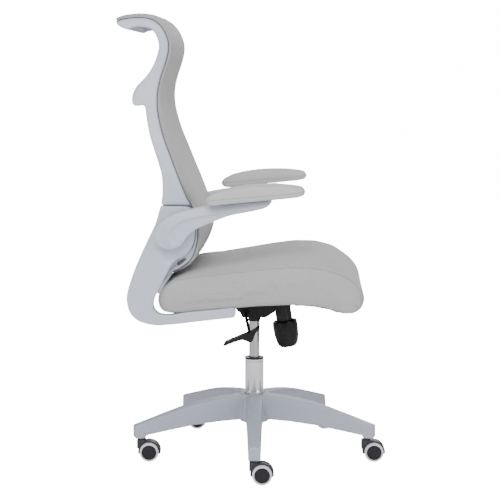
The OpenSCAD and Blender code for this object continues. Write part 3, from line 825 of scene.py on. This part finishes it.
def shifted(line, k):
    """The line moved to its front by k millimetres."""
    out = []
    for i, p in enumerate(line):
        a, b = line[max(i - 1, 0)], line[min(i + 1, len(line) - 1)]
        d = Vector((b[0] - a[0], b[1] - a[1])).normalized()
        out.append((p[0] + k * d.y, p[1] - k * d.x))
    return out


rail_outline = bent(FRONT) + bent(REAR)
rails = [plate("rail_right", rail_outline, -RAIL_OUT, -RAIL_IN),
         plate("rail_left", rail_outline, RAIL_IN, RAIL_OUT)]
head_front = [p for p in bent(FRONT) if p[1] > HEAD_FROM]
head_rear = [p for p in bent(REAR) if p[1] > HEAD_FROM]
head = plate("head_shell", head_front + head_rear, -141, 141)
hollow = plate("hollow", [(302, 1131), (296, 1136), (266, 1136), (256, 1131), (262, 1110),
                          (305, 1110)], -128, 128)
cut_out(head, hollow)
frame_shell = joined("frame_shell", *rails, head)
moulded(frame_shell, 2.6 * MM, 3)


def rail_point(x, y, z):
    """Spreads the rails from a constant width to the back's real outline."""
    side = math.copysign(1, x)
    across = abs(x) / MM
    outer = half_width(z / MM)
    inner = outer - RAIL
    if z < 0.730:
        inner = along(z / MM, [(684, 180), (700, 180), (730, outer - RAIL)])
    if across < RAIL_IN:
        spread = across / RAIL_IN * inner
    else:
        spread = inner + (across - RAIL_IN) / RAIL * (outer - inner)
    return Vector((side * spread * MM, y, z))


reshape(frame_shell, rail_point)
low_line = bent(FRONT_LOW)
low_rear = [(y, z) for y, z in shifted(low_line, -22) if z > 545]
low_rear += [p for p in shifted(low_line, -9) if p[1] < 530]
low_shell = plate("low_shell", low_line + low_rear[::-1], -206, 206)
frame_shell = joined("frame_shell", frame_shell, low_shell)
moulded(frame_shell, 2.6 * MM, 6)
smooth_faces(frame_shell, 60)
finished(frame_shell, "seat", "light_plastic", light_grey, "back_frame")

HOOK = [(270, 997), (282, 987), (292, 975), (299, 962), (302, 949), (301, 937), (296, 930),
        (288, 929), (283, 933), (288, 945), (285, 956), (277, 967), (268, 975)]
hanger = plate("hanger_bar", bent(HOOK + HOOK[:1], 3)[:-1], -162, 162)
moulded(hanger, 2 * MM, 6)
smooth_faces(hanger, 60)
finished(hanger, "seat", "light_plastic", light_grey, "coat_hanger")

# The upholstered panel follows the frame's front line, 6 mm thick at its edge. It is padded
# at the head and the lumbar, and hollow across the width between them, as a stretched cover is.
PANEL_LINE = bent(FRONT, 6)[:-1] + bent(FRONT_LOW, 6)[:-17]
lengths = [0.0]
for a, b in zip(PANEL_LINE, PANEL_LINE[1:]):
    lengths.append(lengths[-1] + math.dist(a, b))


def on_line(s):
    """Point and forward normal at the part s of the panel's length, from the top."""
    want = s * lengths[-1]
    i = max(k for k in range(len(lengths) - 1) if lengths[k] <= want)
    t = (want - lengths[i]) / (lengths[i + 1] - lengths[i])
    a, b = PANEL_LINE[i], PANEL_LINE[i + 1]
    lo, hi = PANEL_LINE[max(i - 2, 0)], PANEL_LINE[min(i + 3, len(PANEL_LINE) - 1)]
    d = Vector((hi[0] - lo[0], hi[1] - lo[1])).normalized()
    return a[0] + (b[0] - a[0]) * t, a[1] + (b[1] - a[1]) * t, d.y, -d.x


PANEL_DEEP = [(520, 6), (550, 8), (575, 10.5), (600, 14), (625, 17), (690, 17), (850, 15.5),
              (950, 14.5), (1040, 14.5), (1110, 14), (1160, 12)]


def panel_half(z):
    """Half the panel's width: inside the yokes below, just inside the frame above."""
    if z < 735:
        return along(z, [(500, 196), (540, 203), (686, 203), (735, 233)])
    return half_width(z) - 4


def panel_point(x, y, z):
    """The stretched panel: x across it, y through its thickness and z down its length."""
    s = (1 - z) / 2
    py, pz, ny, nz = on_line(s)
    half = panel_half(pz)
    corner = 1 - 0.13 * max(0, (0.05 - s) / 0.05) ** 2 - 0.10 * max(0, (s - 0.94) / 0.06) ** 2
    across = x * half * corner
    edge = 1 - abs(x) ** 8
    hollow = (-9 * math.exp(-((pz - 820) / 120) ** 2) + 4 * math.exp(-((pz - 600) / 60) ** 2)
              + 3 * math.exp(-((pz - 1085) / 45) ** 2))
    thick = 6 + (along(pz, PANEL_DEEP) - 6) * edge
    push = 0.6 + hollow * (1 - x * x) + (0 if y > 0 else thick)
    return Vector((across, py + ny * push, pz + nz * push)) * MM


panel = reshape(block("back_cover", 89), panel_point)
pick(panel)
bpy.ops.object.mode_set(mode="EDIT")
bpy.ops.mesh.select_all(action="SELECT")
bpy.ops.mesh.normals_make_consistent(inside=False)
bpy.ops.object.mode_set(mode="OBJECT")
with_modifier(panel, "SMOOTH", factor=0.5, iterations=2)
smooth_faces(panel, 70)
back_cloth = cloth("back_cloth", (0.50, 0.50, 0.50))
finished(panel, "seat", "grey_fabric", back_cloth, "back_panel")

edge_line = []
EDGE_STEPS = 150
for sign, order in ((-1, range(EDGE_STEPS + 1)), (1, range(EDGE_STEPS, -1, -1))):
    for i in order:
        s = i / EDGE_STEPS
        p = panel_point(sign, 1, 1 - 2 * s)
        edge_line.append(p + Vector((sign * 0.0008, 0, 0)))
piping = smooth_faces(welt("back_piping", edge_line, 2.6 * MM, closed=True), 80)
piping_cloth = cloth("piping_cloth", (0.50, 0.50, 0.51), depth=0.5)
finished(piping, "seat", "grey_fabric", piping_cloth)

# Painted shadow: dark cords lie in the gap between the frame and the cover and in the thin gaps
# where the frame, the low shell and the yokes meet. A dark plate on each side paints the shade of a
# small latch slot.
RIM_IN = bent([(160, 685), (147, 674), (141, 650), (139.5, 622), (141, 597), (148, 577),
               (164, 561), (180, 551.5), (193, 543.5)], 3)
JOINT = bent([(214, 684.6), (186, 684.6), (169, 684.4), (159, 682), (152.5, 675), (150, 667)], 3)
SLOT = bent([(186, 530), (184, 539), (170, 548), (163, 549), (164, 544), (178, 532), (186, 530)], 3)
cord_line = [(y, z, half_width(z) if z > 730 else along(z, [(684, 206.3), (700, 236), (730, 237)]))
             for y, z in bent(FRONT, 4) + bent(FRONT_LOW, 4)[:-12]]
gaps = []
for sign in (-1, 1):
    gaps.append(welt("gap", [Vector((sign * (half - 0.4), y - 0.8, z)) * MM
                             for y, z, half in cord_line], 1.2 * MM))
    gaps.append(welt("gap", [Vector((sign * 207, y - 0.6, z)) * MM for y, z in RIM_IN], 1.1 * MM))
    gaps.append(welt("gap", [Vector((sign * 237.6, y, z)) * MM for y, z in JOINT], 1.0 * MM))
    gaps.append(plate("slot", SLOT[:-1], *sorted((sign * 203, sign * 206.6))))
gap_shadow_cords = smooth_faces(joined("gap_shadow_cords", *gaps), 60)
# Painted shade: this dark grey stands for shadow in the gaps and the slot, not for a dark part.
gap_shadow_paint = plastic("gap_shadow_paint", (0.11, 0.11, 0.13), gloss=0.7, worn=1.2, shine=0.2)
finished(gap_shadow_cords, "seat", "grey_fabric", gap_shadow_paint)

# ---- Armrests ----------------------------------------------------------------------------
# Each arm is one nylon moulding with a round boss that turns on a pin in the yoke. It reaches
# forward and outward under a soft foam pad, and it flips up with the pad.

ARM = bent([(236, 612), (230, 634), (207, 656), (177, 670), (139, 680), (104, 686.5),
            (87, 688.5), (50, 692.5), (8, 697), (-50, 702.3), (-54, 698), (-38, 684), (8, 673),
            (47, 665), (89, 649), (121, 635), (136, 627), (152, 613), (163, 598), (172, 588),
            (186, 581), (202, 578), (219, 583), (231, 595), (236, 612)], 4)[:-1]
CREASE = bent([(198, 594), (202, 609), (198, 624), (190, 635), (177, 645), (162, 653), (130, 661),
               (84, 670), (23, 680), (-36, 690)], 2)


ARM_IN, ARM_OUT = 0.2428, 0.2846
CREASE_DEEP = 5.5


def above_crease(y, z):
    """Distance to the crease in millimetres, positive above and behind it."""
    best = 1e9
    for (y0, z0), (y1, z1) in zip(CREASE, CREASE[1:]):
        dy, dz = y1 - y0, z1 - z0
        t = min(1, max(0, ((y - y0) * dy + (z - z0) * dz) / (dy * dy + dz * dz)))
        oy, oz = y - y0 - t * dy, z - z0 - t * dz
        far = math.hypot(oy, oz)
        if far < abs(best):
            best = math.copysign(far, dz * oy - dy * oz)
    return best


def flared(x, y, z):
    """Spreads the arm outwards to the front, and sinks its outer face below the crease."""
    forward = min(1, max(0, (0.150 - y) / 0.150))
    ease = forward * forward * (3 - 2 * forward)
    inner = (abs(x) - ARM_IN) / (ARM_OUT - ARM_IN)
    low = min(1, max(0, (0.640 - z) / 0.06)) * min(1, max(0, (y - 0.12) / 0.05))
    d = above_crease(y / MM, z / MM)
    sunk = CREASE_DEEP * min(1, max(0, 0.1 - d / 6)) if d < 0.6 else 0.42 * min(d - 0.6, 18)
    if d < 0:
        sunk *= min(1, math.dist((y, z), (CREASE[0][0] * MM, CREASE[0][1] * MM)) / 0.030)
    face = max(0, min(1, (inner - 0.45) / 0.5))
    across = abs(x) + 0.016 * ease - 0.006 * low * inner - sunk * face * MM
    return Vector((math.copysign(across, x), y, z))


for side, sign in (("right", -1), ("left", 1)):
    arm = plate(f"arm_{side}_shell", ARM, *sorted((sign * ARM_IN / MM, sign * ARM_OUT / MM)))
    moulded(arm, 2 * MM, 6)
    reshape(arm, flared)
    with_modifier(arm, "SMOOTH", factor=0.5, iterations=2)
    smooth_faces(arm, 60)
    finished(arm, f"armrest_{side}", "light_plastic", light_grey, f"arm_{side}")

pad_skin = plastic("pad_skin", (0.52, 0.52, 0.53), gloss=0.62, grain=900, depth=0.3)
PAD_TOP = [(-136, 727), (-133, 733), (-126, 737.5), (-114, 740), (-76, 743.5), (-32, 743.5),
           (9, 740.5), (45, 734.5), (70, 728.5), (89, 720.5), (98, 715), (105, 707)]
PAD_FOOT = [(-136, 722), (-133, 717), (-127, 714.5), (-114, 712.5), (-88, 709.5), (-51, 706),
            (-3, 701.5), (41, 697), (65, 694.8), (82, 691.5), (97, 692.5), (102, 696), (105, 702)]
PAD_OUT = 289.5
PAD_HALF_WIDE = 40.5
PAD_MIDDLE = -15.5
PAD_HALF_LONG = 120.5
PAD_EASE = 1.35
PAD_SEAM = [(-136, 726), (-88, 721), (-33, 716), (20, 711.5), (64, 708), (88, 705), (105, 703)]


def pad_plan(x, y):
    """A point of the unit square on the pad's rounded plan, closer together at the ends."""
    plan = max(abs(x), abs(y)) / max(1e-9, (abs(x) ** 4 + abs(y) ** 4) ** (1 / 4))
    run = PAD_MIDDLE + PAD_HALF_LONG * math.sin(PAD_EASE * y * plan) / math.sin(PAD_EASE)
    return x * plan, run


def pad_point(x, y, z):
    """The arm pad before it is filled, slightly domed across its top."""
    px, run = pad_plan(x, y)
    foot, top = along(run, PAD_FOOT), along(run, PAD_TOP)
    rim = 1 - 0.06 * z * z
    sink = 2.5 * px * px if z > 0 else 0
    high = (foot + top) / 2 + z * (top - foot) / 2 - sink
    return Vector((px * PAD_HALF_WIDE * rim, run, high)) * MM


GROOVE_STEPS = 96
# Painted shade: a thin dark cord runs round each pad along its groove, where shadow would fall.
painted_groove_shade = plastic("painted_groove_shade", (0.30, 0.31, 0.33), gloss=0.7)
for side, sign in (("right", -1), ("left", 1)):
    pad = reshape(block(f"pad_{side}", 35), pad_point)
    placed(pad, Matrix.Translation((sign * PAD_OUT * MM, 0, 0)))
    filled(pad, 2.4 * MM, 2.0, 1.2 * MM, frames=8)
    smooth_faces(pad, 80)
    finished(pad, f"armrest_{side}", "pad_foam", pad_skin, f"arm_pad_{side}")
    groove = []
    for i in range(GROOVE_STEPS):
        turn = math.tau * i / GROOVE_STEPS
        x, y = math.cos(turn), math.sin(turn)
        px, run = pad_plan(x / max(abs(x), abs(y)), y / max(abs(x), abs(y)))
        beside = Vector((sign * PAD_OUT + px * 44, run, along(run, PAD_SEAM)))
        groove.append(onto(pad, beside * MM))
    line = smooth_faces(welt(f"pad_groove_{side}", groove, 0.55 * MM, closed=True), 80)
    finished(line, f"armrest_{side}", "pad_foam", painted_groove_shade)

# ---- Carried-over metal and plastic ------------------------------------------------------
# The pieces whose CAD shape is already right: folded steel, rods, bolts, bushes and the
# plywood pan. Each keeps its mesh and gets the finish that the real one has.

black_coat = plastic("black_coat", (0.009, 0.009, 0.010), gloss=0.45, grain=700, depth=0.3,
                     worn=2.2, shine=0.3)
zinc = metal("zinc", (0.55, 0.56, 0.58), 0.32)
soft_rubber = plastic("soft_rubber", (0.018, 0.018, 0.018), gloss=0.7, worn=1.3)


def plywood():
    """Bare beech ply: long grain on the faces and thin layers at the edge."""
    mat, tree, shader = new_material("plywood")
    n, link = tree.nodes, tree.links.new
    coord = n.new("ShaderNodeTexCoord")
    stretch = n.new("ShaderNodeMapping")
    stretch.inputs["Scale"].default_value = (1, 0.08, 6)
    rings = n.new("ShaderNodeTexNoise")
    rings.inputs["Scale"].default_value = 60
    rings.inputs["Detail"].default_value = 6
    link(coord.outputs["Object"], stretch.inputs["Vector"])
    link(stretch.outputs["Vector"], rings.inputs["Vector"])
    body = two_tone(tree, rings.outputs["Fac"], (0.36, 0.22, 0.11, 1), (0.62, 0.44, 0.26, 1))
    link(body.outputs["Result"], shader.inputs["Base Color"])
    shader.inputs["Roughness"].default_value = 0.7
    bump = bumped(tree, rings.outputs["Fac"], 0.2, 0.0004)
    link(bump.outputs["Normal"], shader.inputs["Normal"])
    return mat


FINISH = {"bright_steel": tube_bare, "dark_plastic": cap_black, "black_steel": black_coat,
          "steel": zinc, "rubber": soft_rubber, "plywood": plywood(),
          "castor_plastic": hood_black, "light_plastic": light_grey, "base_plastic": base_grey}
for entry in frame["record"]["subparts"]:
    node = frame["nodes"][entry["node"]]
    if entry["material_slot"] in FINISH:
        node.data.materials.clear()
        node.data.materials.append(FINISH[entry["material_slot"]])
frame["nodes"]["tilt_shaft"].data.materials[0] = black_coat

# ---- Studio ------------------------------------------------------------------------------
# A pale floor, a large soft light on each side and above, and a camera at seat height on the
# sitter's right.

WHITE_OUT = 16.0
bpy.ops.mesh.primitive_plane_add(size=14, location=(0, 0, 0))
floor = bpy.context.active_object
floor.name = "studio_floor"
floor_mat, floor_tree, floor_shader = new_material("studio_floor")
floor_shader.inputs["Base Color"].default_value = (0.9, 0.9, 0.9, 1)
floor_shader.inputs["Roughness"].default_value = 0.9
seen = floor_tree.nodes.new("ShaderNodeLightPath")
glow = floor_tree.nodes.new("ShaderNodeMath")
glow.operation = "MULTIPLY"
glow.inputs[1].default_value = WHITE_OUT
floor_tree.links.new(seen.outputs["Is Camera Ray"], glow.inputs[0])
floor_tree.links.new(glow.outputs["Value"], floor_shader.inputs["Emission Strength"])
floor_shader.inputs["Emission Color"].default_value = (1, 1, 1, 1)
floor.data.materials.append(floor_mat)


def lamp(name, place, aim, size, watts):
    """A square soft light that faces a point."""
    light = bpy.data.lights.new(name, "AREA")
    light.shape = "SQUARE"
    light.size = size
    light.energy = watts
    obj = bpy.data.objects.new(name, light)
    bpy.context.collection.objects.link(obj)
    obj.location = place
    obj.rotation_euler = (Vector(aim) - Vector(place)).to_track_quat("-Z", "Y").to_euler()


lamp("key", (-3.2, 0.3, 2.6), (0, 0, 0.6), 1.8, 98)
lamp("front", (-2.2, -2.6, 1.2), (0, 0, 0.5), 1.8, 28)
lamp("rear", (-1.6, 3.0, 1.8), (0, 0, 0.6), 2.2, 26)
lamp("top", (0.4, -0.6, 3.2), (0, 0, 0.5), 2.6, 22)
lamp("far", (3.2, -0.6, 1.9), (0, 0, 0.6), 2.4, 46)

world = bpy.data.worlds.new("studio")
world.use_nodes = True
sky = world.node_tree.nodes["Background"]
sky.inputs["Color"].default_value = (1, 1, 1, 1)
seen = world.node_tree.nodes.new("ShaderNodeLightPath")
bright = world.node_tree.nodes.new("ShaderNodeMapRange")
bright.inputs["To Min"].default_value = 0.42
bright.inputs["To Max"].default_value = WHITE_OUT
world.node_tree.links.new(seen.outputs["Is Camera Ray"], bright.inputs["Value"])
world.node_tree.links.new(bright.outputs["Result"], sky.inputs["Strength"])
bpy.context.scene.world = world

camera_data = bpy.data.cameras.new("camera")
camera_data.lens = 101.1
camera_data.sensor_width = 36
camera = bpy.data.objects.new("camera", camera_data)
bpy.context.collection.objects.link(camera)
camera.location = (-3.697, -0.157, 1.003)
heading = math.radians(2.61)
pitch = math.radians(-7.05)
look = Vector((math.cos(heading) * math.cos(pitch), math.sin(heading) * math.cos(pitch),
               math.sin(pitch)))
camera.rotation_euler = look.to_track_quat("-Z", "Y").to_euler()
bpy.context.scene.camera = camera
